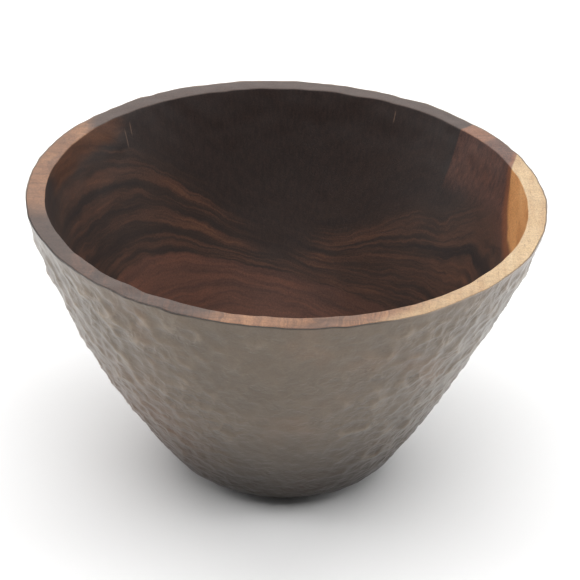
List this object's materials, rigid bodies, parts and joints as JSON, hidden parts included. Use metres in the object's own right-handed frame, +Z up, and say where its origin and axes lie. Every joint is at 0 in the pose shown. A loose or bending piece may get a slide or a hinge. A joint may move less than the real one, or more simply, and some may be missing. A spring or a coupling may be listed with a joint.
{
  "type": "serving bowl",
  "caption": "Deep flared serving bowl of turned wood set in a hammered, dark-patinated copper skin, with a cork pad under its flat base.",
  "frame": {"origin": "middle of the underside of the cork pad, on the surface that the bowl stands on", "axes": "+Z up through the mouth, the axis of the turned shape; -Y towards the viewer, with the pale sapwood on the +X side"},
  "size_m": [0.3048, 0.3048, 0.1778],
  "materials": {
    "oiled_wood": "satin oil over dark figured heartwood with a pale sapwood edge",
    "patinated_copper": "hammered, satin, grey-brown patina",
    "dark_adhesive": "matte, shows only as a thin dark line at the rim",
    "cork": "fine-grained pressed cork"
  },
  "bodies": {
    "root": {"wood_bowl": "oiled_wood", "copper_skin": "patinated_copper", "adhesive_bed": "dark_adhesive", "cork_pad": "cork"}
  },
  "joints": []
}
